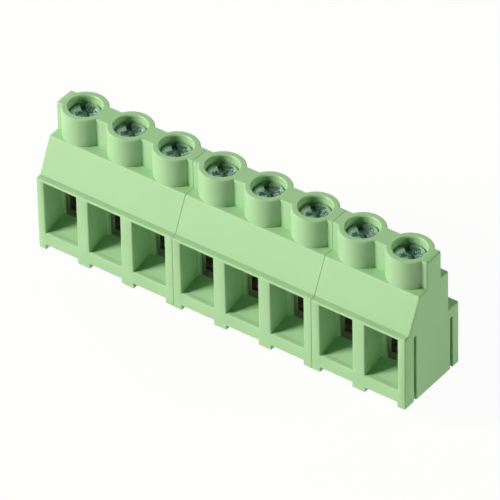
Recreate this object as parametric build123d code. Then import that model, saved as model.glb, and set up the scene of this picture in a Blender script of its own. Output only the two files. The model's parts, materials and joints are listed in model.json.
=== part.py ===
from build123d import *
import os

# Board terminal block with lift clamps, in millimetres.
# +X runs along the row of poles, +Y from the wire side to the back, +Z up from the board.
# Depths below are measured from the front face and heights from the board. The finished
# part has its origin on the board, at the middle of the row of solder pins.

# Row of poles, moulded as separate modules that slide together
pitch = 7.62
left_pole_count = 3
middle_pole_count = 3
right_pole_count = 2
module_gap = 0.04

# Clamp screw
screw_diameter = 3.0
tip_chamfer = 0.35
head_diameter = 4.26
head_height = 2.4
head_round = 0.12
slot_width = 0.75
slot_depth = 0.8
cross_width = 0.85
cross_span = 2.9
cross_root = 1.3
cross_depth = 1.5
recess_turn = -40

# Clamp sleeve, a cage that climbs the screw and lifts the wire against the bar
sleeve_depth = 4.5
sleeve_wall = 0.6
sleeve_floor = 1.2
sleeve_corner = 0.25
thread_length = 2.4
wire_gap = 3.55
closed_gap = 0.15
grip_count = 3
grip_spacing = 1.1
grip_size = 0.45

# Current bar with its solder pin
bar_width = 2.6
bar_thickness = 0.8
bar_bend = 0.5
tongue_setback = 0.3
leg_width = 3.4
pin_width = 1.0
pin_length = 3.5
pin_shoulder = 1.2
pin_taper = 0.3

# Housing walls and openings
end_wall = 1.32
partition = 2.05
foot_height = 0.8
sill_height = 2.77
sill_depth = 0.85
ramp_rise = 0.8
opening_height = 8.5
lintel = 0.48
mouth_depth = 3.75
neck_depth = 0.45
sleeve_lip = 1.1
plate_depth = 0.85
plate_slant = 0.15
ledge_depth = 1.77
web_front_reach = 1.5
web_rear_reach = 1.75
rear_wall = 1.1
rib_depth = 2.35
rib_cover = 1.38
roof = 2.55
shoulder_drop = 0.95
head_recess = 1.1
tower_wall = 0.95

# Dovetails between modules: grooves in each right face, ribs on each left face
dovetail_neck = 0.6
dovetail_width = 0.9
dovetail_reach = 0.75
front_dovetail_inset = 2.27
front_dovetail_drop = 0.7
rear_dovetail_inset = 0.6
rear_dovetail_drop = 1.6

# Edges of the moulding, sharper where two modules meet than at the row's ends
edge_round = 0.2
mouth_chamfer = 0.18
rim_chamfer = 0.16
joint_chamfer = 0.03
end_chamfer = 0.18

# Clearances
thread_clearance = 0.05
guide_clearance = 0.15
head_clearance = 0.2
seat_clearance = 0.05
tip_clearance = 0.05
pocket_clearance = 0.1
travel_clearance = 0.28
bar_side_clearance = 0.2
bar_top_clearance = 0.3
leg_clearance = 0.2
slot_clearance = 0.1
dovetail_clearance = 0.06

# How far a cutting shape runs past the surface that it opens
overrun = 1.0

# Widths
window_width = bar_width + 2 * bar_side_clearance
sleeve_width = window_width + 2 * sleeve_wall
pocket_width = sleeve_width + 2 * pocket_clearance
bore_radius = head_diameter / 2 + head_clearance
tower_radius = bore_radius + tower_wall

# Depths
pocket_front = mouth_depth + neck_depth
axis_depth = pocket_front + pocket_clearance + sleeve_depth / 2
sleeve_front = axis_depth - sleeve_depth / 2
sleeve_rear = axis_depth + sleeve_depth / 2
pocket_rear = sleeve_rear + pocket_clearance
leg_front = sleeve_rear + leg_clearance
leg_rear = leg_front + bar_thickness
pin_depth = leg_front + bar_thickness / 2
web_front = axis_depth - web_front_reach
web_rear = axis_depth + web_rear_reach
ledge_front = web_front - ledge_depth
main_rear = pocket_rear + rear_wall
rib_rear = main_rear + rib_depth

# Heights
opening_top = sill_height + opening_height
plate_top = opening_top + lintel
slope_foot = plate_top + plate_slant
ramp_top = sill_height + ramp_rise
sleeve_seat = ramp_top + sleeve_lip
sleeve_bottom = sleeve_seat - sleeve_floor
bar_bottom = sleeve_seat + wire_gap
bar_top = bar_bottom + bar_thickness
window_top = bar_top + bar_top_clearance
sleeve_top = window_top + thread_length
sleeve_travel = wire_gap - closed_gap
ceiling = sleeve_top + sleeve_travel + travel_clearance
seat = ceiling + roof
shoulder = seat - shoulder_drop
head_bottom = seat + seat_clearance
head_top = head_bottom + head_height
tower_top = head_top + head_recess
rib_top = bar_top + rib_cover
screw_tip = bar_top + tip_clearance


def block(low, high):
    """Box between two opposite corners."""
    size = [b - a for a, b in zip(low, high)]
    return Pos(*low) * Box(*size, align=(Align.MIN, Align.MIN, Align.MIN))


def upright(radius, low, high):
    """Upright cylinder on a pole's axis, between two heights."""
    base = Pos(0, axis_depth, low)
    return base * Cylinder(radius, high - low, align=(Align.CENTER, Align.CENTER, Align.MIN))


def side_prism(outline, low, high, radii=0):
    """Prism between two places along X, over an outline of (depth, height) points."""
    face = make_face(FilletPolyline(*outline, radius=radii, close=True))
    return Pos(low, 0, 0) * extrude(Plane.YZ * face, amount=high - low)


def dovetail(clearance, top):
    """Upright dovetail that reaches towards -X from x = 0, smaller all round by a clearance."""
    neck = dovetail_neck / 2 - clearance
    widest = dovetail_width / 2 - clearance
    reach = dovetail_reach - clearance
    plan = Polyline((0, -neck), (-reach, -widest), (-reach, widest), (0, neck), close=True)
    return extrude(make_face(plan), amount=top)


def dovetails(clearance):
    """The front and rear dovetails at their depths, for grooves or for the ribs that fill them."""
    front_height = plate_top - front_dovetail_drop - clearance
    front = Pos(0, front_dovetail_inset, 0) * dovetail(clearance, front_height)
    rear_height = rib_top - rear_dovetail_drop - clearance
    rear = Pos(0, main_rear + rear_dovetail_inset, 0) * dovetail(clearance, rear_height)
    return front + rear


def housing_shell(length, left_chamfer, right_chamfer):
    """Solid moulding of one module, from x = 0 to its length, with its edges eased."""
    outline = {
        (0, 0): 0,
        (0, plate_top): edge_round,
        (plate_depth, slope_foot): 0,
        (ledge_front, shoulder): edge_round,
        (web_front, shoulder): 0,
        (web_front, tower_top): edge_round,
        (web_rear, tower_top): edge_round,
        (web_rear, shoulder): 0,
        (main_rear, shoulder): edge_round,
        (main_rear, rib_top): 0,
        (rib_rear, rib_top): edge_round,
        (rib_rear, 0): 0,
    }
    shell = side_prism(outline.keys(), 0, length, outline.values())
    for end, size in ((0, left_chamfer), (-1, right_chamfer)):
        face = shell.faces().filter_by(Axis.X).sort_by(Axis.X)[end]
        shell = chamfer(face.edges(), size)
    return shell


def tower():
    """Outside of the round tower around one screw, standing on the shoulder."""
    column = upright(tower_radius, plate_top, tower_top)
    return fillet(column.edges().group_by(Axis.Z)[-1], edge_round)


def screw_passage():
    """Space for one screw: tower bore with an eased rim, and the shank's hole in the roof."""
    bore = upright(bore_radius, seat, tower_top + overrun)
    rim = Pos(0, axis_depth, tower_top - rim_chamfer) * Cone(
        bore_radius,
        bore_radius + rim_chamfer + overrun,
        rim_chamfer + overrun,
        align=(Align.CENTER, Align.CENTER, Align.MIN),
    )
    hole = upright(screw_diameter / 2 + guide_clearance, ceiling - overrun, seat + overrun)
    return bore + rim + hole


def clamp_pocket():
    """Space for one sleeve over its travel and for the current bar's leg, open below and to the wire."""
    half = pocket_width / 2
    pocket = block((-half, pocket_front, -overrun), (half, pocket_rear, ceiling))
    neck = block((-half, mouth_depth - overrun, ramp_top), (half, axis_depth, opening_top))
    half_slot = leg_width / 2 + slot_clearance
    slot_top = bar_top + slot_clearance
    slot = block((-half_slot, axis_depth, -overrun), (half_slot, leg_rear, slot_top))
    return pocket + neck + slot


def wire_mouth(width):
    """Space in front of one clamp: wire opening with a ramped floor, and the gap over the board."""
    outline = [
        (-overrun, sill_height),
        (sill_depth, sill_height),
        (mouth_depth, ramp_top),
        (mouth_depth, opening_top),
        (-overrun, opening_top),
    ]
    mouth = side_prism(outline, -width / 2, width / 2)
    flare = Plane((0, 0, (sill_height + opening_top) / 2), x_dir=(1, 0, 0), z_dir=(0, 1, 0))
    flare_size = (width + 2 * mouth_chamfer, opening_height + 2 * mouth_chamfer)
    eased = extrude(flare * Rectangle(*flare_size), amount=mouth_chamfer, taper=45)
    gap = block((-width / 2, -overrun, -overrun), (width / 2, rib_rear + overrun, foot_height))
    return mouth + eased + gap


def housing(poles, left_chamfer, right_chamfer):
    """One moulded module with its left face at x = 0."""
    length = poles * pitch - module_gap
    opening_width = (length - 2 * end_wall - (poles - 1) * partition) / poles
    shell = housing_shell(length, left_chamfer, right_chamfer)
    for k in range(poles):
        shell += Pos((k + 0.5) * pitch - module_gap / 2, 0, 0) * tower()
    for k in range(poles):
        shell -= Pos((k + 0.5) * pitch - module_gap / 2, 0, 0) * (screw_passage() + clamp_pocket())
        opening_centre = end_wall + opening_width / 2 + k * (opening_width + partition)
        shell -= Pos(opening_centre, 0, 0) * wire_mouth(opening_width)
    shell -= Pos(length, 0, 0) * dovetails(0)
    return shell + dovetails(dovetail_clearance)


def driver_recess():
    """Slot and tapered cross in a screw's head."""
    slot = Box(head_diameter + overrun, slot_width, 2 * slot_depth)
    arm_outline = [
        (-cross_span / 2, 0),
        (-cross_root / 2, -cross_depth),
        (cross_root / 2, -cross_depth),
        (cross_span / 2, 0),
    ]
    arm_face = make_face(Polyline(*arm_outline, close=True))
    arm = extrude(Plane.XZ * arm_face, amount=cross_width / 2, both=True)
    return slot + arm + Rot(0, 0, 90) * arm


def clamp_screw():
    """Clamp screw on the pole's axis, its thread drawn as a plain shank."""
    shank = upright(screw_diameter / 2, screw_tip, head_bottom)
    shank = chamfer(shank.edges().group_by(Axis.Z)[0], tip_chamfer)
    head = upright(head_diameter / 2, head_bottom, head_top)
    head = fillet(head.edges().group_by(Axis.Z)[-1], head_round)
    recess = Pos(0, axis_depth, head_top) * Rot(0, 0, recess_turn) * driver_recess()
    return shank + head - recess


def clamp_sleeve():
    """Lift cage at the bottom of its travel: a closed loop with a threaded top and a grooved floor."""
    front_plane = Plane((0, sleeve_rear, 0), x_dir=(1, 0, 0), z_dir=(0, -1, 0))
    middle = (sleeve_bottom + sleeve_top) / 2
    loop = Pos(0, middle) * RectangleRounded(sleeve_width, sleeve_top - sleeve_bottom, sleeve_corner)
    cage = extrude(front_plane * loop, amount=sleeve_depth)
    half = window_width / 2
    cage -= block((-half, 0, sleeve_seat), (half, rib_rear, window_top))
    cage -= upright(screw_diameter / 2 + thread_clearance, window_top - overrun, sleeve_top + overrun)
    for k in range(grip_count):
        groove_depth = axis_depth + (k - (grip_count - 1) / 2) * grip_spacing
        cage -= Pos(0, groove_depth, sleeve_seat) * Rot(45, 0, 0) * Box(window_width, grip_size, grip_size)
    return cage


def current_bar():
    """Bar through the sleeve, bent down behind it into a leg with one solder pin."""
    tongue_front = sleeve_front + tongue_setback
    outline = {
        (tongue_front, bar_bottom): 0,
        (tongue_front, bar_top): 0,
        (leg_rear, bar_top): bar_bend,
        (leg_rear, -pin_length): 0,
        (leg_front, -pin_length): 0,
        (leg_front, bar_bottom): 0,
    }
    bar = side_prism(outline.keys(), -leg_width / 2, leg_width / 2, outline.values())
    outside = leg_width / 2 + overrun
    beside_tongue = block((bar_width / 2, 0, bar_bottom - overrun), (outside, leg_front, bar_top + overrun))
    beside_pin = block((pin_width / 2, 0, -pin_length - overrun), (outside, rib_rear, pin_shoulder))
    spare = beside_tongue + beside_pin
    bar -= spare + mirror(spare, about=Plane.YZ)
    tip = bar.faces().sort_by(Axis.Z)[0]
    return chamfer(tip.edges(), pin_taper)


def save(shape, name):
    """Writes one piece, moved so that the origin is at the middle of the row of pins."""
    placed = Pos(0, -pin_depth, 0) * shape
    placed.label = name
    export_step(placed, f"parts/{name}.step")


os.makedirs("parts", exist_ok=True)
module_poles = {"left": left_pole_count, "middle": middle_pole_count, "right": right_pole_count}
pole_count = sum(module_poles.values())
row_start = -pole_count * pitch / 2

module_start = row_start
for place, poles in module_poles.items():
    left_chamfer = end_chamfer if place == "left" else joint_chamfer
    right_chamfer = end_chamfer if place == "right" else joint_chamfer
    module = housing(poles, left_chamfer, right_chamfer)
    save(Pos(module_start + module_gap / 2, 0, 0) * module, f"housing_{place}")
    module_start += poles * pitch

clamp_pieces = {
    "clamp_screw": clamp_screw(),
    "clamp_sleeve": clamp_sleeve(),
    "current_bar": current_bar(),
}
for k in range(pole_count):
    pole = Pos(row_start + (k + 0.5) * pitch, 0, 0)
    for kind, piece in clamp_pieces.items():
        save(pole * piece, f"{kind}_{k + 1}")
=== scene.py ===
import json
import math

import bmesh
import bpy
from bpy.props import FloatProperty, FloatVectorProperty, IntProperty, PointerProperty
from mathutils import Matrix, Vector

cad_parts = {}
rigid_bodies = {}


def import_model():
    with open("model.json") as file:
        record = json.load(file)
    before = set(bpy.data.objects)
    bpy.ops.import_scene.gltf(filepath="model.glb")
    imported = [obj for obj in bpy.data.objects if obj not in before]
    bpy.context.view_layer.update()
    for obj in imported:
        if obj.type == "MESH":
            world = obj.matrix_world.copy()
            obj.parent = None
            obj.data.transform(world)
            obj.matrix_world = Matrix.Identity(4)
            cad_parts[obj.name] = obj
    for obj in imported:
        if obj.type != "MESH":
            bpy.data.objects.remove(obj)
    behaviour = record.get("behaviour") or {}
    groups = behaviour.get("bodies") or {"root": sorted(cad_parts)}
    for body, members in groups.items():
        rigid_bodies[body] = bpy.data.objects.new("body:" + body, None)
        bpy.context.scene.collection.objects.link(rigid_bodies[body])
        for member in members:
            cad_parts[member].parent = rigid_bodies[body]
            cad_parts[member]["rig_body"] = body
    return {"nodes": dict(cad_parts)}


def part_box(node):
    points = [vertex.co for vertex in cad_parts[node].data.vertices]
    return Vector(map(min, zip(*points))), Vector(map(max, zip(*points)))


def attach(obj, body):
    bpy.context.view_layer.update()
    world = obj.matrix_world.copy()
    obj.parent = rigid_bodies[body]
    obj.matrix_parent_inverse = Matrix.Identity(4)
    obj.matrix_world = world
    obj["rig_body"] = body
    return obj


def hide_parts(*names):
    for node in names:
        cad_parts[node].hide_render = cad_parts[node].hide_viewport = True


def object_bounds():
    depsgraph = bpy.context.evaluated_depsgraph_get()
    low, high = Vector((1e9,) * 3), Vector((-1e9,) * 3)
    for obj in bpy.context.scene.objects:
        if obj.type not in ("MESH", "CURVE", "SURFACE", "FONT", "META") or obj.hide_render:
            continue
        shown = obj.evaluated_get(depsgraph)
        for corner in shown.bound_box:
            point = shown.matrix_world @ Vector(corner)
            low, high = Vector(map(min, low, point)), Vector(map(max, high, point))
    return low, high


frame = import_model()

bl_info = {
    "name": "Board terminal block",
    "version": (1, 0, 0),
    "blender": (4, 5, 0),
    "location": "View3D > Sidebar > Terminal",
    "description": "Finishes a board terminal block: modules, clamp screws, lift cages and current bars",
    "category": "Object",
}

# The frame is in metres. Sizes that a maker would give in millimetres are written times MM.
MM = 0.001
CAD_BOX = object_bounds()

# Numbers of a Mix node's colour sockets, whose names its other sockets share
MIX_A = 6
MIX_B = 7
MIX_COLOUR = 2

# Nodes of each kind, in the order of the row
HOUSINGS = ("housing_left", "housing_middle", "housing_right")
POLES = sorted(int(name.rsplit("_", 1)[1]) for name in frame["nodes"] if name.startswith("clamp_screw_"))

# Clamp screw as the frame holds it
SCREW_LOW, SCREW_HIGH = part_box("clamp_screw_1")
HEAD_RADIUS = (SCREW_HIGH.x - SCREW_LOW.x) / 2

# Merging and easing of a copied solid: faces within the flat angle become one, and edges
# sharper than the sharp angle are rounded, with a profile of 0.5 being a part of a circle
MERGE_DISTANCE = 0.001 * MM
FLAT_ANGLE = math.radians(0.5)
SHARP_ANGLE = math.radians(52)
BEVEL_STEPS = 2
ROUND_PROFILE = 0.5

# Shading of a copied solid. Edges blunter than the smooth angle are shaded round, apart from
# creases between two faces that are both wider than the flat width. The angle is larger for
# long edges, so chamfers along the walls look rounded and those around the bores stay crisp.
# A normal weight over 50 favours large faces.
SMOOTH_ANGLE = math.radians(40)
LONG_SMOOTH_ANGLE = math.radians(50)
LONG_EDGE = 1 * MM
CREASE_ANGLE = math.radians(5)
FLAT_WIDTH = 0.6 * MM
NORMAL_WEIGHT = 60

# Screw's make-up: rings in one turn of its thread, where the thread's flank starts and ends in
# turns from the middle of its crest, rings on the head's rim, how far the shank is let into the
# head, and the angle up to which its edges are shaded round
THREAD_STEPS = 8
FLANK_START = 0.06
FLANK_END = 0.4
HALF_TURN = 0.5
RIM_STEPS = 6
SUNK = 0.2 * MM
SCREW_SMOOTH_ANGLE = math.radians(35)

# Solids that cut the recess: the slot's length in head radii, and each one's height in depths
# of its cut, so that half of it stands over the head
SLOT_REACH = 3.0
CUTTER_HEIGHT = 2.0
SCREW_INPUTS = {
    "Head radius": "NodeSocketFloat",
    "Head height": "NodeSocketFloat",
    "Head round": "NodeSocketFloat",
    "Shank radius": "NodeSocketFloat",
    "Shank length": "NodeSocketFloat",
    "Tip chamfer": "NodeSocketFloat",
    "Thread pitch": "NodeSocketFloat",
    "Thread depth": "NodeSocketFloat",
    "Slot width": "NodeSocketFloat",
    "Slot depth": "NodeSocketFloat",
    "Cross width": "NodeSocketFloat",
    "Cross span": "NodeSocketFloat",
    "Cross root": "NodeSocketFloat",
    "Cross depth": "NodeSocketFloat",
    "Recess turn": "NodeSocketFloat",
    "Facets": "NodeSocketInt",
    "Place": "NodeSocketVector",
    "Material": "NodeSocketMaterial",
}

# Roughness of each finish, where it is smoothest and where it is dullest
POLYAMIDE_ROUGHNESS = (0.36, 0.50)
ZINC_ROUGHNESS = (0.18, 0.34)
NICKEL_ROUGHNESS = (0.22, 0.40)
TIN_ROUGHNESS = (0.34, 0.52)
POLYAMIDE_IOR = 1.53
POLYAMIDE_SPECULAR = 0.3
# Highlights on turned zinc are drawn out across the lathe's rings, a quarter turn from the way round
ZINC_ANISOTROPY = 0.6
ACROSS_RINGS = 0.25

# Relief of each finish: how strongly it shows, and its height. The real grain, rings and streaks
# are finer, and are drawn as coarse as they need to show.
GRAIN_RELIEF = (0.25, 0.02 * MM)
RING_RELIEF = (0.15, 0.01 * MM)
STREAK_RELIEF = (0.25, 0.01 * MM)

# Finer layers in each pattern's noise, and a streak's width as a share of its length
FLOW_DETAIL = 3.0
GRAIN_DETAIL = 2.0
RING_DETAIL = 1.0
STAIN_DETAIL = 3.0
STREAK_DETAIL = 3.0
STREAK_STRETCH = 0.04

# Soft boxes: azimuth from the wire side and elevation in degrees, width and height in metres,
# watts, colour
LAMPS = {
    "key": (-46, 29, 0.4, 0.7, 31.0, "#FFF7EC"),
    "end_fill": (116, 15, 0.3, 0.3, 7.4, "#EEFFD2"),
    "rim_left": (-121, 33, 0.25, 0.25, 3.2, "#F2FFE6"),
    "rim_back": (197, 36, 0.8, 0.6, 1.2, "#F0FFE2"),
    "overhead": (160, 68, 0.4, 0.4, 1.8, "#F0FFE2"),
}
# Sine of the elevation where the white surround ends, and where the darker ceiling is reached
CEILING_START = 0.2
CEILING_FULL = 0.5
# Half the floor's width in metres, and how much of it shows as plain white
FLOOR_REACH = 1.5
FLOOR_WHITENESS = 0.95
WHITE = (1, 1, 1, 1)


def linear(hex_colour):
    """Linear RGB of an sRGB hex value such as #A9D39C."""
    shares = [int(hex_colour[i:i + 2], 16) / 255 for i in (1, 3, 5)]
    return [s / 12.92 if s <= 0.04045 else ((s + 0.055) / 1.055) ** 2.4 for s in shares]


class MouldingSettings(bpy.types.PropertyGroup):
    """Sizes and colours of the moulded modules."""
    edge_round: FloatProperty(
        name="Edge round", description="Rounding of the moulding's sharp edges",
        default=0.07 * MM, subtype="DISTANCE", unit="LENGTH")
    colour: FloatVectorProperty(
        name="Colour", description="Pale green of the plastic",
        default=linear("#A2CC9F"), size=3, subtype="COLOR", min=0, max=1)
    flow_colour: FloatVectorProperty(
        name="Flow marks", description="Slightly deeper green where the melt ran together",
        default=linear("#9CC799"), size=3, subtype="COLOR", min=0, max=1)
    flow_size: FloatProperty(
        name="Flow mark size", description="Width of the cloudy flow marks",
        default=6 * MM, subtype="DISTANCE", unit="LENGTH")
    grain_size: FloatProperty(
        name="Grain size", description="Width of the mould's spark-eroded grain, coarse enough to show",
        default=0.16 * MM, subtype="DISTANCE", unit="LENGTH")


class ScrewSettings(bpy.types.PropertyGroup):
    """Sizes and colours of the clamp screws."""
    head_height: FloatProperty(
        name="Head height", description="Height of the round head",
        default=2.4 * MM, subtype="DISTANCE", unit="LENGTH")
    head_round: FloatProperty(
        name="Head round", description="Rounding of the head's upper rim",
        default=0.12 * MM, subtype="DISTANCE", unit="LENGTH")
    shank_radius: FloatProperty(
        name="Shank radius", description="Radius over the thread's crests",
        default=1.5 * MM, subtype="DISTANCE", unit="LENGTH")
    tip_chamfer: FloatProperty(
        name="Tip chamfer", description="Chamfer at the end of the shank",
        default=0.35 * MM, subtype="DISTANCE", unit="LENGTH")
    thread_pitch: FloatProperty(
        name="Thread pitch", description="Rise of the thread in one turn",
        default=0.5 * MM, subtype="DISTANCE", unit="LENGTH")
    thread_depth: FloatProperty(
        name="Thread depth", description="Depth of the thread's groove",
        default=0.28 * MM, subtype="DISTANCE", unit="LENGTH")
    slot_width: FloatProperty(
        name="Slot width", description="Width of the slot across the head",
        default=0.75 * MM, subtype="DISTANCE", unit="LENGTH")
    slot_depth: FloatProperty(
        name="Slot depth", description="Depth of the slot across the head",
        default=0.8 * MM, subtype="DISTANCE", unit="LENGTH")
    cross_width: FloatProperty(
        name="Cross width", description="Width of an arm of the cross recess",
        default=0.85 * MM, subtype="DISTANCE", unit="LENGTH")
    cross_span: FloatProperty(
        name="Cross span", description="Length of the cross over two arms, at the head's top",
        default=2.9 * MM, subtype="DISTANCE", unit="LENGTH")
    cross_root: FloatProperty(
        name="Cross root", description="Length of the cross over two arms, at its bottom",
        default=1.3 * MM, subtype="DISTANCE", unit="LENGTH")
    cross_depth: FloatProperty(
        name="Cross depth", description="Depth of the cross recess",
        default=1.5 * MM, subtype="DISTANCE", unit="LENGTH")
    recess_turn: FloatProperty(
        name="Recess turn", description="Turn of slot and cross about the screw's axis",
        default=math.radians(-40), subtype="ANGLE", unit="ROTATION")
    edge_round: FloatProperty(
        name="Edge round", description="Rounding of the recess's edges",
        default=0.04 * MM, subtype="DISTANCE", unit="LENGTH")
    colour: FloatVectorProperty(
        name="Colour", description="Bright zinc plating with a cool passivated tint",
        default=linear("#B4CAC4"), size=3, subtype="COLOR", min=0, max=1)
    ring_width: FloatProperty(
        name="Ring width", description="Width of the lathe's rings, coarse enough to show",
        default=0.07 * MM, subtype="DISTANCE", unit="LENGTH")
    stain_size: FloatProperty(
        name="Stain size", description="Width of the dull patches in the plating",
        default=0.8 * MM, subtype="DISTANCE", unit="LENGTH")
    facets: IntProperty(
        name="Facets around", description="Sides of the round head and shank", default=64, min=16)


class ClampSettings(bpy.types.PropertyGroup):
    """Sizes and colours of the lift cages and current bars."""
    cage_round: FloatProperty(
        name="Cage edge round", description="Rounding of the cage's stamped edges",
        default=0.12 * MM, subtype="DISTANCE", unit="LENGTH")
    bar_round: FloatProperty(
        name="Bar edge round", description="Rounding of the bar's stamped edges",
        default=0.06 * MM, subtype="DISTANCE", unit="LENGTH")
    cage_colour: FloatVectorProperty(
        name="Cage", description="Nickel plating, a little warm",
        default=linear("#A09A8E"), size=3, subtype="COLOR", min=0, max=1)
    bar_colour: FloatVectorProperty(
        name="Bar", description="Tin plating over brass",
        default=linear("#B9B8B0"), size=3, subtype="COLOR", min=0, max=1)
    streak_size: FloatProperty(
        name="Streak width", description="Width of the metal's drawing streaks, coarse enough to show",
        default=0.09 * MM, subtype="DISTANCE", unit="LENGTH")


class StudioSettings(bpy.types.PropertyGroup):
    """Camera, lamps and floor."""
    azimuth: FloatProperty(
        name="Azimuth", description="Camera's turn from the wire side towards the right end",
        default=math.radians(36.87), subtype="ANGLE", unit="ROTATION")
    elevation: FloatProperty(
        name="Elevation", description="Camera's height above the board, as an angle",
        default=math.radians(38.54), subtype="ANGLE", unit="ROTATION")
    roll: FloatProperty(
        name="Roll", description="Camera's turn about its own line of sight",
        default=math.radians(-1.22), subtype="ANGLE", unit="ROTATION")
    distance: FloatProperty(
        name="Distance", description="Camera's distance from the point that it looks at",
        default=1.0, subtype="DISTANCE", unit="LENGTH")
    view_width: FloatProperty(
        name="View width", description="Width of the picture at the camera's target",
        default=66.81 * MM, subtype="DISTANCE", unit="LENGTH")
    target: FloatVectorProperty(
        name="Target", description="Point of the part that the lamps face",
        default=(0, -3.4 * MM, 9 * MM), size=3, subtype="TRANSLATION", unit="LENGTH")
    offset: FloatVectorProperty(
        name="Offset", description="Camera's shift from the target, to the right and up in the picture",
        default=(0.70 * MM, 0.20 * MM), size=2, unit="LENGTH")
    lamp_distance: FloatProperty(
        name="Lamp distance", description="Distance of the soft boxes from the target",
        default=1.5, subtype="DISTANCE", unit="LENGTH")
    ambient: FloatProperty(
        name="Ambient", description="Share of the white surround that lights the part",
        default=0.01, min=0, max=1)
    ceiling_colour: FloatVectorProperty(
        name="Ceiling", description="Dim room above the soft boxes, which the screws mirror",
        default=linear("#2C4A42"), size=3, subtype="COLOR", min=0, max=1)
    floor_colour: FloatVectorProperty(
        name="Floor", description="Pale floor",
        default=linear("#F4F4F2"), size=3, subtype="COLOR", min=0, max=1)


def add(tree, kind, inputs=None, **settings):
    """Adds a node. An input gets a value, the socket that feeds it, or the node whose first output does."""
    node = tree.nodes.new(kind)
    for name, value in settings.items():
        setattr(node, name, value)
    for socket, value in (inputs or {}).items():
        if isinstance(value, bpy.types.Node):
            value = value.outputs[0]
        if isinstance(value, bpy.types.NodeSocket):
            tree.links.new(value, node.inputs[socket])
        else:
            node.inputs[socket].default_value = value
    return node


def new_material(name):
    """An empty node material, with its tree."""
    material = bpy.data.materials.new(name)
    material.use_nodes = True
    material.node_tree.nodes.clear()
    return material, material.node_tree


def moulded_polyamide(settings):
    """Pale green polyamide from a fine-grained mould: satin, a little cloudy, with soft highlights."""
    material, tree = new_material("moulded_polyamide")
    place = add(tree, "ShaderNodeTexCoord").outputs["Object"]
    clouds = add(tree, "ShaderNodeTexNoise", {
        "Vector": place, "Scale": 1 / settings.flow_size, "Detail": FLOW_DETAIL})
    colour = add(tree, "ShaderNodeMix", {
        "Factor": clouds, MIX_A: (*settings.colour, 1), MIX_B: (*settings.flow_colour, 1)},
        data_type="RGBA")
    grain = add(tree, "ShaderNodeTexNoise", {
        "Vector": place, "Scale": 1 / settings.grain_size, "Detail": GRAIN_DETAIL})
    low, high = POLYAMIDE_ROUGHNESS
    rough = add(tree, "ShaderNodeMapRange", {"Value": grain, "To Min": low, "To Max": high})
    strength, height = GRAIN_RELIEF
    bump = add(tree, "ShaderNodeBump", {"Height": grain, "Strength": strength, "Distance": height})
    surface = add(tree, "ShaderNodeBsdfPrincipled", {
        "Base Color": colour.outputs[MIX_COLOUR], "Roughness": rough, "IOR": POLYAMIDE_IOR,
        "Specular IOR Level": POLYAMIDE_SPECULAR, "Normal": bump})
    add(tree, "ShaderNodeOutputMaterial", {"Surface": surface})
    return material


def zinc_plated_steel(settings):
    """Turned steel, bright zinc plated: cool grey mirror with fine rings from the lathe."""
    material, tree = new_material("zinc_plated_steel")
    radius = add(tree, "ShaderNodeAttribute", attribute_name="axis_distance").outputs["Fac"]
    rings = add(tree, "ShaderNodeTexNoise", {
        "W": radius, "Scale": 1 / settings.ring_width, "Detail": RING_DETAIL}, noise_dimensions="1D")
    place = add(tree, "ShaderNodeTexCoord").outputs["Object"]
    stains = add(tree, "ShaderNodeTexNoise", {
        "Vector": place, "Scale": 1 / settings.stain_size, "Detail": STAIN_DETAIL})
    low, high = ZINC_ROUGHNESS
    rough = add(tree, "ShaderNodeMapRange", {"Value": stains, "To Min": low, "To Max": high})
    strength, height = RING_RELIEF
    bump = add(tree, "ShaderNodeBump", {"Height": rings, "Strength": strength, "Distance": height})
    around = add(tree, "ShaderNodeTangent", direction_type="RADIAL", axis="Z")
    surface = add(tree, "ShaderNodeBsdfPrincipled", {
        "Base Color": (*settings.colour, 1), "Metallic": 1.0, "Roughness": rough, "Normal": bump,
        "Anisotropic": ZINC_ANISOTROPY, "Anisotropic Rotation": ACROSS_RINGS, "Tangent": around})
    add(tree, "ShaderNodeOutputMaterial", {"Surface": surface})
    return material


def plated_strip(name, colour, streak_size, streak_axis, roughness):
    """Stamped strip, plated: satin metal with fine drawing streaks along one axis."""
    material, tree = new_material(name)
    place = add(tree, "ShaderNodeTexCoord").outputs["Object"]
    stretch = [STREAK_STRETCH if axis == streak_axis else 1.0 for axis in "XYZ"]
    drawn = add(tree, "ShaderNodeMapping", {"Vector": place, "Scale": stretch})
    streaks = add(tree, "ShaderNodeTexNoise", {
        "Vector": drawn, "Scale": 1 / streak_size, "Detail": STREAK_DETAIL})
    low, high = roughness
    rough = add(tree, "ShaderNodeMapRange", {"Value": streaks, "To Min": low, "To Max": high})
    strength, height = STREAK_RELIEF
    bump = add(tree, "ShaderNodeBump", {"Height": streaks, "Strength": strength, "Distance": height})
    surface = add(tree, "ShaderNodeBsdfPrincipled", {
        "Base Color": (*colour, 1), "Metallic": 1.0, "Roughness": rough, "Normal": bump})
    add(tree, "ShaderNodeOutputMaterial", {"Surface": surface})
    return material


def place_piece(name, mesh, material, node):
    """Puts a finished mesh in the scene in a node's stead."""
    piece = bpy.data.objects.new(name, mesh)
    bpy.context.scene.collection.objects.link(piece)
    mesh.materials.clear()
    mesh.materials.append(material)
    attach(piece, frame["nodes"][node]["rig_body"])
    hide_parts(node)


def plain_mesh(holder, name):
    """The plain mesh of an object with its modifiers, which is then removed."""
    depsgraph = bpy.context.evaluated_depsgraph_get()
    mesh = bpy.data.meshes.new_from_object(holder.evaluated_get(depsgraph), depsgraph=depsgraph)
    mesh.name = name
    bpy.data.objects.remove(holder)
    return mesh


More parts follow.
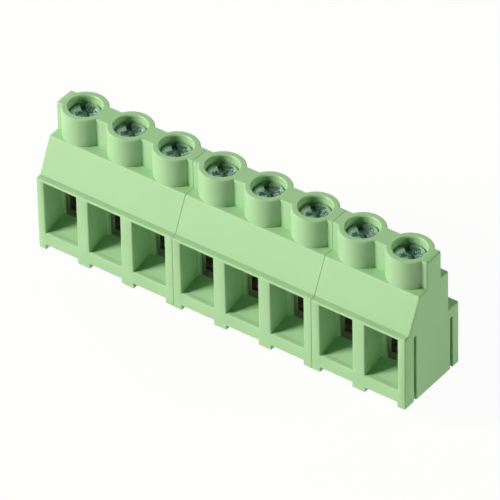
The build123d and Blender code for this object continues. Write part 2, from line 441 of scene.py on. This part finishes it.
def round_edges(bm, edge_round):
    """Merges a solid's loose triangles into whole faces and rounds its sharp outer edges."""
    bmesh.ops.remove_doubles(bm, verts=bm.verts, dist=MERGE_DISTANCE)
    bmesh.ops.dissolve_limit(bm, angle_limit=FLAT_ANGLE, verts=bm.verts, edges=bm.edges)
    sharp = [edge for edge in bm.edges if edge.calc_face_angle_signed(0) > SHARP_ANGLE]
    bmesh.ops.bevel(
        bm, geom=sharp, offset=edge_round, offset_type="OFFSET", affect="EDGES",
        segments=BEVEL_STEPS, profile=ROUND_PROFILE, clamp_overlap=True)
    bmesh.ops.remove_doubles(bm, verts=bm.verts, dist=MERGE_DISTANCE)


def shade_edges(bm):
    """Shades a solid round, with creases at its sharp edges and between its wide flats."""
    for face in bm.faces:
        face.smooth = True
    for edge in bm.edges:
        angle = edge.calc_face_angle(0)
        length = edge.calc_length()
        narrow = min(face.calc_area() for face in edge.link_faces) < FLAT_WIDTH * length
        limit = LONG_SMOOTH_ANGLE if length > LONG_EDGE else SMOOTH_ANGLE
        edge.smooth = angle < limit and (angle < CREASE_ANGLE or narrow)


def eased_copy(node, name, edge_round):
    """A node's solid as one closed mesh, its sharp outer edges rounded and its wide flats shaded flat."""
    bm = bmesh.new()
    bm.from_mesh(frame["nodes"][node].data)
    round_edges(bm, edge_round)
    shade_edges(bm)
    bmesh.ops.triangulate(bm, faces=[face for face in bm.faces if len(face.verts) > 4])
    holder = bpy.data.objects.new(name, bpy.data.meshes.new(name))
    bm.to_mesh(holder.data)
    bm.free()
    bpy.context.scene.collection.objects.link(holder)
    normals = holder.modifiers.new("normals", "WEIGHTED_NORMAL")
    normals.keep_sharp = True
    normals.weight = NORMAL_WEIGHT
    return plain_mesh(holder, name)


def threaded_shank(tree, given, circle, position):
    """A fine tube whose wall follows the thread and the tip's chamfer, let into the head at its top."""
    here = add(tree, "ShaderNodeSeparateXYZ", {"Vector": position}).outputs
    length = add(tree, "ShaderNodeMath", {0: given["Shank length"], 1: SUNK}, operation="ADD")
    end = add(tree, "ShaderNodeCombineXYZ", {"Z": length})
    axis = add(tree, "GeometryNodeCurvePrimitiveLine", {"End": end})
    turns = add(tree, "ShaderNodeMath", {0: length, 1: given["Thread pitch"]}, operation="DIVIDE")
    rings = add(tree, "ShaderNodeMath", {0: turns, 1: THREAD_STEPS}, operation="MULTIPLY")
    fine_axis = add(tree, "GeometryNodeResampleCurve", {"Curve": axis, "Count": rings})
    tube = add(tree, "GeometryNodeCurveToMesh", {
        "Curve": fine_axis, "Profile Curve": circle, "Scale": given["Shank radius"], "Fill Caps": True})
    # Where a point is in the thread's turn, and how deep the groove is there
    angle = add(tree, "ShaderNodeMath", {0: here["Y"], 1: here["X"]}, operation="ARCTAN2")
    lead = add(tree, "ShaderNodeMath", {0: angle, 1: math.tau}, operation="DIVIDE")
    rise = add(tree, "ShaderNodeMath", {0: here["Z"], 1: given["Thread pitch"]}, operation="DIVIDE")
    turn = add(tree, "ShaderNodeMath", {0: rise, 1: lead}, operation="SUBTRACT")
    flank = add(tree, "ShaderNodeMath", {0: turn, 1: HALF_TURN}, operation="PINGPONG")
    groove = add(tree, "ShaderNodeMapRange", {
        "Value": flank, "From Min": FLANK_START, "From Max": FLANK_END, "To Max": given["Thread depth"]})
    wall = add(tree, "ShaderNodeMath", {0: given["Shank radius"], 1: groove}, operation="SUBTRACT")
    end_radius = add(tree, "ShaderNodeMath", {
        0: given["Shank radius"], 1: given["Tip chamfer"]}, operation="SUBTRACT")
    chamfer = add(tree, "ShaderNodeMath", {0: end_radius, 1: here["Z"]}, operation="ADD")
    radius = add(tree, "ShaderNodeMath", {0: wall, 1: chamfer}, operation="MINIMUM")
    share = add(tree, "ShaderNodeMath", {0: radius, 1: given["Shank radius"]}, operation="DIVIDE")
    squeeze = add(tree, "ShaderNodeCombineXYZ", {"X": share, "Y": share, "Z": 1.0})
    cut = add(tree, "ShaderNodeVectorMath", {0: position, 1: squeeze}, operation="MULTIPLY")
    return add(tree, "GeometryNodeSetPosition", {"Geometry": tube, "Position": cut})


def round_head(tree, given, circle):
    """A round stack on top of the shank, its last rings on the quarter circle of the rim."""
    line = add(tree, "GeometryNodeCurvePrimitiveLine")
    stack = add(tree, "GeometryNodeResampleCurve", {"Curve": line, "Count": RIM_STEPS + 2})
    # Ring 0 is the head's foot, and the rings from 1 on are its rim
    ring = add(tree, "GeometryNodeInputIndex")
    angle = add(tree, "ShaderNodeMapRange", {
        "Value": ring, "From Min": 1.0, "From Max": RIM_STEPS + 1.0, "To Max": math.pi / 2})
    straight = add(tree, "ShaderNodeMath", {
        0: given["Head height"], 1: given["Head round"]}, operation="SUBTRACT")
    wall = add(tree, "ShaderNodeMapRange", {"Value": ring, "To Max": straight})
    base = add(tree, "ShaderNodeMath", {0: wall, 1: given["Shank length"]}, operation="ADD")
    sine = add(tree, "ShaderNodeMath", {0: angle}, operation="SINE")
    height = add(tree, "ShaderNodeMath", {
        0: sine, 1: given["Head round"], 2: base}, operation="MULTIPLY_ADD")
    top = add(tree, "ShaderNodeMath", {
        0: given["Head radius"], 1: given["Head round"]}, operation="SUBTRACT")
    cosine = add(tree, "ShaderNodeMath", {0: angle}, operation="COSINE")
    radius = add(tree, "ShaderNodeMath", {
        0: cosine, 1: given["Head round"], 2: top}, operation="MULTIPLY_ADD")
    place = add(tree, "ShaderNodeCombineXYZ", {"Z": height})
    rings = add(tree, "GeometryNodeSetPosition", {"Geometry": stack, "Position": place})
    return add(tree, "GeometryNodeCurveToMesh", {
        "Curve": rings, "Profile Curve": circle, "Scale": radius, "Fill Caps": True})


def recessed(tree, given, head, position):
    """The head with its driver recess cut: a slot right across and two tapered arms."""
    here = add(tree, "ShaderNodeSeparateXYZ", {"Vector": position}).outputs
    slot_length = add(tree, "ShaderNodeMath", {
        0: given["Head radius"], 1: SLOT_REACH}, operation="MULTIPLY")
    slot_height = add(tree, "ShaderNodeMath", {
        0: given["Slot depth"], 1: CUTTER_HEIGHT}, operation="MULTIPLY")
    slot_size = add(tree, "ShaderNodeCombineXYZ", {
        "X": slot_length, "Y": given["Slot width"], "Z": slot_height})
    slot = add(tree, "GeometryNodeMeshCube", {"Size": slot_size})
    arm_height = add(tree, "ShaderNodeMath", {
        0: given["Cross depth"], 1: CUTTER_HEIGHT}, operation="MULTIPLY")
    arm_size = add(tree, "ShaderNodeCombineXYZ", {"X": 1.0, "Y": given["Cross width"], "Z": arm_height})
    arm_box = add(tree, "GeometryNodeMeshCube", {"Size": arm_size})
    bottom = add(tree, "ShaderNodeMath", {0: given["Cross depth"], 1: -1.0}, operation="MULTIPLY")
    taper = add(tree, "ShaderNodeMapRange", {
        "Value": here["Z"], "From Min": bottom, "From Max": 0.0,
        "To Min": given["Cross root"], "To Max": given["Cross span"]}, clamp=False)
    stretch = add(tree, "ShaderNodeCombineXYZ", {"X": taper, "Y": 1.0, "Z": 1.0})
    tapered = add(tree, "ShaderNodeVectorMath", {0: position, 1: stretch}, operation="MULTIPLY")
    arm = add(tree, "GeometryNodeSetPosition", {"Geometry": arm_box, "Position": tapered})
    top = add(tree, "ShaderNodeMath", {0: given["Shank length"], 1: given["Head height"]}, operation="ADD")
    place = add(tree, "ShaderNodeCombineXYZ", {"Z": top})
    for solid, quarter in ((slot, 0.0), (arm, 0.0), (arm, math.pi / 2)):
        turn = add(tree, "ShaderNodeMath", {0: given["Recess turn"], 1: quarter}, operation="ADD")
        rotation = add(tree, "ShaderNodeCombineXYZ", {"Z": turn})
        tool = add(tree, "GeometryNodeTransform", {
            "Geometry": solid, "Translation": place, "Rotation": rotation})
        head = add(tree, "GeometryNodeMeshBoolean", {
            "Mesh 1": head, "Mesh 2": tool}, operation="DIFFERENCE", solver="EXACT")
    return head


def screw_tree():
    """Geometry tree of one clamp screw on its pole's axis: threaded shank, round head, driver recess."""
    tree = bpy.data.node_groups.new("clamp_screw", "GeometryNodeTree")
    tree.interface.new_socket("Geometry", in_out="OUTPUT", socket_type="NodeSocketGeometry")
    for name, kind in SCREW_INPUTS.items():
        tree.interface.new_socket(name, in_out="INPUT", socket_type=kind)
    given = add(tree, "NodeGroupInput").outputs
    circle = add(tree, "GeometryNodeCurvePrimitiveCircle", {"Resolution": given["Facets"], "Radius": 1.0})
    position = add(tree, "GeometryNodeInputPosition")
    shank = threaded_shank(tree, given, circle, position)
    head = recessed(tree, given, round_head(tree, given, circle), position)
    # One socket of the union takes both solids
    whole = add(tree, "GeometryNodeMeshBoolean", {"Mesh 2": head}, operation="UNION", solver="EXACT")
    tree.links.new(shank.outputs[0], whole.inputs["Mesh 2"])
    # Distance from the axis, which the lathe's rings follow
    flat = add(tree, "ShaderNodeVectorMath", {0: position, 1: (1.0, 1.0, 0.0)}, operation="MULTIPLY")
    distance = add(tree, "ShaderNodeVectorMath", {0: flat}, operation="LENGTH").outputs["Value"]
    marked = add(tree, "GeometryNodeStoreNamedAttribute", {
        "Geometry": whole, "Name": "axis_distance", "Value": distance}, data_type="FLOAT", domain="POINT")
    placed = add(tree, "GeometryNodeTransform", {"Geometry": marked, "Translation": given["Place"]})
    real = add(tree, "GeometryNodeRealizeInstances", {"Geometry": placed})
    plated = add(tree, "GeometryNodeSetMaterial", {"Geometry": real, "Material": given["Material"]})
    add(tree, "NodeGroupOutput", {"Geometry": plated})
    return tree


def grown_mesh(name, tree, inputs, edge_round):
    """The plain mesh that a geometry tree gives for these inputs, with its sharp edges rounded."""
    holder = bpy.data.objects.new(name, bpy.data.meshes.new(name))
    modifier = holder.modifiers.new("grow", "NODES")
    modifier.node_group = tree
    sockets = {item.name: item.identifier for item in tree.interface.items_tree if item.in_out == "INPUT"}
    for label, value in inputs.items():
        modifier[sockets[label]] = value
    easing = holder.modifiers.new("ease", "BEVEL")
    easing.width = edge_round
    easing.segments = BEVEL_STEPS
    easing.limit_method = "ANGLE"
    easing.angle_limit = SHARP_ANGLE
    bpy.context.scene.collection.objects.link(holder)
    mesh = plain_mesh(holder, name)
    mesh.shade_smooth()
    mesh.set_sharp_from_angle(angle=SCREW_SMOOTH_ANGLE)
    return mesh


class TERMINAL_OT_housings(bpy.types.Operator):
    """Moulded modules with eased edges"""
    bl_idname = "terminal.housings"
    bl_label = "Moulded housings"

    def execute(self, context):
        settings = context.scene.terminal_moulding
        plastic = moulded_polyamide(settings)
        for node in HOUSINGS:
            name = node.replace("housing", "moulding")
            mesh = eased_copy(node, name, settings.edge_round)
            place_piece(name, mesh, plastic, node)
        return {"FINISHED"}


class TERMINAL_OT_screws(bpy.types.Operator):
    """Threaded clamp screws with slot and cross"""
    bl_idname = "terminal.screws"
    bl_label = "Clamp screws"

    def execute(self, context):
        settings = context.scene.terminal_screw
        plating = zinc_plated_steel(settings)
        tree = screw_tree()
        inputs = {
            "Head radius": HEAD_RADIUS,
            "Head height": settings.head_height,
            "Head round": settings.head_round,
            "Shank radius": settings.shank_radius,
            "Shank length": SCREW_HIGH.z - SCREW_LOW.z - settings.head_height,
            "Tip chamfer": settings.tip_chamfer,
            "Thread pitch": settings.thread_pitch,
            "Thread depth": settings.thread_depth,
            "Slot width": settings.slot_width,
            "Slot depth": settings.slot_depth,
            "Cross width": settings.cross_width,
            "Cross span": settings.cross_span,
            "Cross root": settings.cross_root,
            "Cross depth": settings.cross_depth,
            "Recess turn": settings.recess_turn,
            "Facets": settings.facets,
            "Material": plating,
        }
        for pole in POLES:
            node = f"clamp_screw_{pole}"
            low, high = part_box(node)
            inputs["Place"] = ((low.x + high.x) / 2, (low.y + high.y) / 2, low.z)
            name = f"threaded_screw_{pole}"
            mesh = grown_mesh(name, tree, inputs, settings.edge_round)
            place_piece(name, mesh, plating, node)
        return {"FINISHED"}


class TERMINAL_OT_clamps(bpy.types.Operator):
    """Lift cages and the current bars that they press against"""
    bl_idname = "terminal.clamps"
    bl_label = "Cages and bars"

    def execute(self, context):
        settings = context.scene.terminal_clamp
        nickel = plated_strip(
            "nickel_plated_steel", settings.cage_colour, settings.streak_size, "Z", NICKEL_ROUGHNESS)
        tin = plated_strip(
            "tin_plated_brass", settings.bar_colour, settings.streak_size, "Y", TIN_ROUGHNESS)
        for pole in POLES:
            cage = f"lift_cage_{pole}"
            mesh = eased_copy(f"clamp_sleeve_{pole}", cage, settings.cage_round)
            place_piece(cage, mesh, nickel, f"clamp_sleeve_{pole}")
            bar = f"solder_bar_{pole}"
            mesh = eased_copy(f"current_bar_{pole}", bar, settings.bar_round)
            place_piece(bar, mesh, tin, f"current_bar_{pole}")
        return {"FINISHED"}


def direction(azimuth, elevation):
    """Unit vector towards a place around the part, azimuth 0 being the wire side."""
    flat = math.cos(elevation)
    return Vector((math.sin(azimuth) * flat, -math.cos(azimuth) * flat, math.sin(elevation)))


def shown_share(tree):
    """1 for rays from the camera, a mirror or glass, and 0 for rays that gather light."""
    path = add(tree, "ShaderNodeLightPath").outputs
    mirrored = add(tree, "ShaderNodeMath", {
        0: path["Is Glossy Ray"], 1: path["Is Transmission Ray"]}, operation="MAXIMUM")
    return add(tree, "ShaderNodeMath", {0: path["Is Camera Ray"], 1: mirrored}, operation="MAXIMUM")


def soft_boxes(settings):
    """Rectangular lamps that face the part."""
    target = Vector(settings.target)
    for name, (azimuth, elevation, width, height, watts, colour) in LAMPS.items():
        light = bpy.data.lights.new(name, "AREA")
        light.shape = "RECTANGLE"
        light.size = width
        light.size_y = height
        light.energy = watts
        light.color = linear(colour)
        back = direction(math.radians(azimuth), math.radians(elevation))
        lamp = bpy.data.objects.new(name, light)
        lamp.location = target + back * settings.lamp_distance
        lamp.rotation_euler = back.to_track_quat("Z", "Y").to_euler()
        bpy.context.scene.collection.objects.link(lamp)


def studio_world(settings):
    """White surround with a dimmer ceiling, which hardly lights the part."""
    world = bpy.data.worlds.new("studio")
    world.use_nodes = True
    tree = world.node_tree
    tree.nodes.clear()
    place = add(tree, "ShaderNodeTexCoord").outputs["Generated"]
    height = add(tree, "ShaderNodeSeparateXYZ", {"Vector": place}).outputs["Z"]
    above = add(tree, "ShaderNodeMapRange", {
        "Value": height, "From Min": CEILING_START, "From Max": CEILING_FULL})
    colour = add(tree, "ShaderNodeMix", {
        "Factor": above, MIX_A: WHITE, MIX_B: (*settings.ceiling_colour, 1)}, data_type="RGBA")
    strength = add(tree, "ShaderNodeMapRange", {
        "Value": shown_share(tree), "To Min": settings.ambient, "To Max": 1.0})
    surround = add(tree, "ShaderNodeBackground", {
        "Color": colour.outputs[MIX_COLOUR], "Strength": strength})
    add(tree, "ShaderNodeOutputWorld", {"Surface": surround})
    bpy.context.scene.world = world


def pale_floor(settings):
    """Matt floor under the pins, which shows nearly white and keeps a faint shadow of the part."""
    material, tree = new_material("pale_floor")
    paint = add(tree, "ShaderNodeBsdfDiffuse", {"Color": (*settings.floor_colour, 1)})
    white = add(tree, "ShaderNodeEmission", {"Color": WHITE})
    share = add(tree, "ShaderNodeMath", {0: shown_share(tree), 1: FLOOR_WHITENESS}, operation="MULTIPLY")
    mixed = add(tree, "ShaderNodeMixShader", {"Fac": share, 1: paint, 2: white})
    add(tree, "ShaderNodeOutputMaterial", {"Surface": mixed})
    bm = bmesh.new()
    bmesh.ops.create_grid(bm, x_segments=1, y_segments=1, size=FLOOR_REACH)
    mesh = bpy.data.meshes.new("floor")
    bm.to_mesh(mesh)
    bm.free()
    mesh.materials.append(material)
    floor = bpy.data.objects.new("floor", mesh)
    floor.location.z = CAD_BOX[0][2]
    bpy.context.scene.collection.objects.link(floor)


def photo_camera(settings):
    """Long-lens camera at the photograph's angle."""
    back = direction(settings.azimuth, settings.elevation)
    level = Vector((math.cos(settings.azimuth), math.sin(settings.azimuth), 0))
    right = math.cos(settings.roll) * level + math.sin(settings.roll) * back.cross(level)
    up = back.cross(right)
    camera = bpy.data.objects.new("camera", bpy.data.cameras.new("camera"))
    camera.data.lens = camera.data.sensor_width * settings.distance / settings.view_width
    aim = Vector(settings.target) + right * settings.offset[0] + up * settings.offset[1]
    axes = Matrix((right, up, back)).transposed().to_4x4()
    camera.matrix_world = Matrix.Translation(aim + back * settings.distance) @ axes
    bpy.context.scene.collection.objects.link(camera)
    bpy.context.scene.camera = camera


class TERMINAL_OT_stage(bpy.types.Operator):
    """Pale floor, soft boxes and the camera"""
    bl_idname = "terminal.stage"
    bl_label = "Studio stage"

    def execute(self, context):
        settings = context.scene.terminal_studio
        soft_boxes(settings)
        studio_world(settings)
        pale_floor(settings)
        photo_camera(settings)
        context.scene.view_settings.view_transform = "Standard"
        return {"FINISHED"}


class TERMINAL_PT_panel(bpy.types.Panel):
    """Steps that finish the terminal block"""
    bl_label = "Terminal block"
    bl_idname = "TERMINAL_PT_panel"
    bl_space_type = "VIEW_3D"
    bl_region_type = "UI"
    bl_category = "Terminal"

    def draw(self, context):
        for operator in OPERATORS:
            self.layout.operator(operator.bl_idname)


SETTINGS = {
    "terminal_moulding": MouldingSettings,
    "terminal_screw": ScrewSettings,
    "terminal_clamp": ClampSettings,
    "terminal_studio": StudioSettings,
}
OPERATORS = (TERMINAL_OT_housings, TERMINAL_OT_screws, TERMINAL_OT_clamps, TERMINAL_OT_stage)


def register():
    """Makes the classes and their settings known to the scene."""
    for cls in (*SETTINGS.values(), *OPERATORS, TERMINAL_PT_panel):
        bpy.utils.register_class(cls)
    for name, cls in SETTINGS.items():
        setattr(bpy.types.Scene, name, PointerProperty(type=cls))


def unregister():
    """Takes the settings and classes out again."""
    for name in SETTINGS:
        delattr(bpy.types.Scene, name)
    for cls in (TERMINAL_PT_panel, *reversed(OPERATORS), *reversed(SETTINGS.values())):
        bpy.utils.unregister_class(cls)


def main():
    """Makes the pieces and the stage."""
    register()
    bpy.ops.terminal.housings()
    bpy.ops.terminal.screws()
    bpy.ops.terminal.clamps()
    bpy.ops.terminal.stage()


if __name__ == "__main__":
    main()
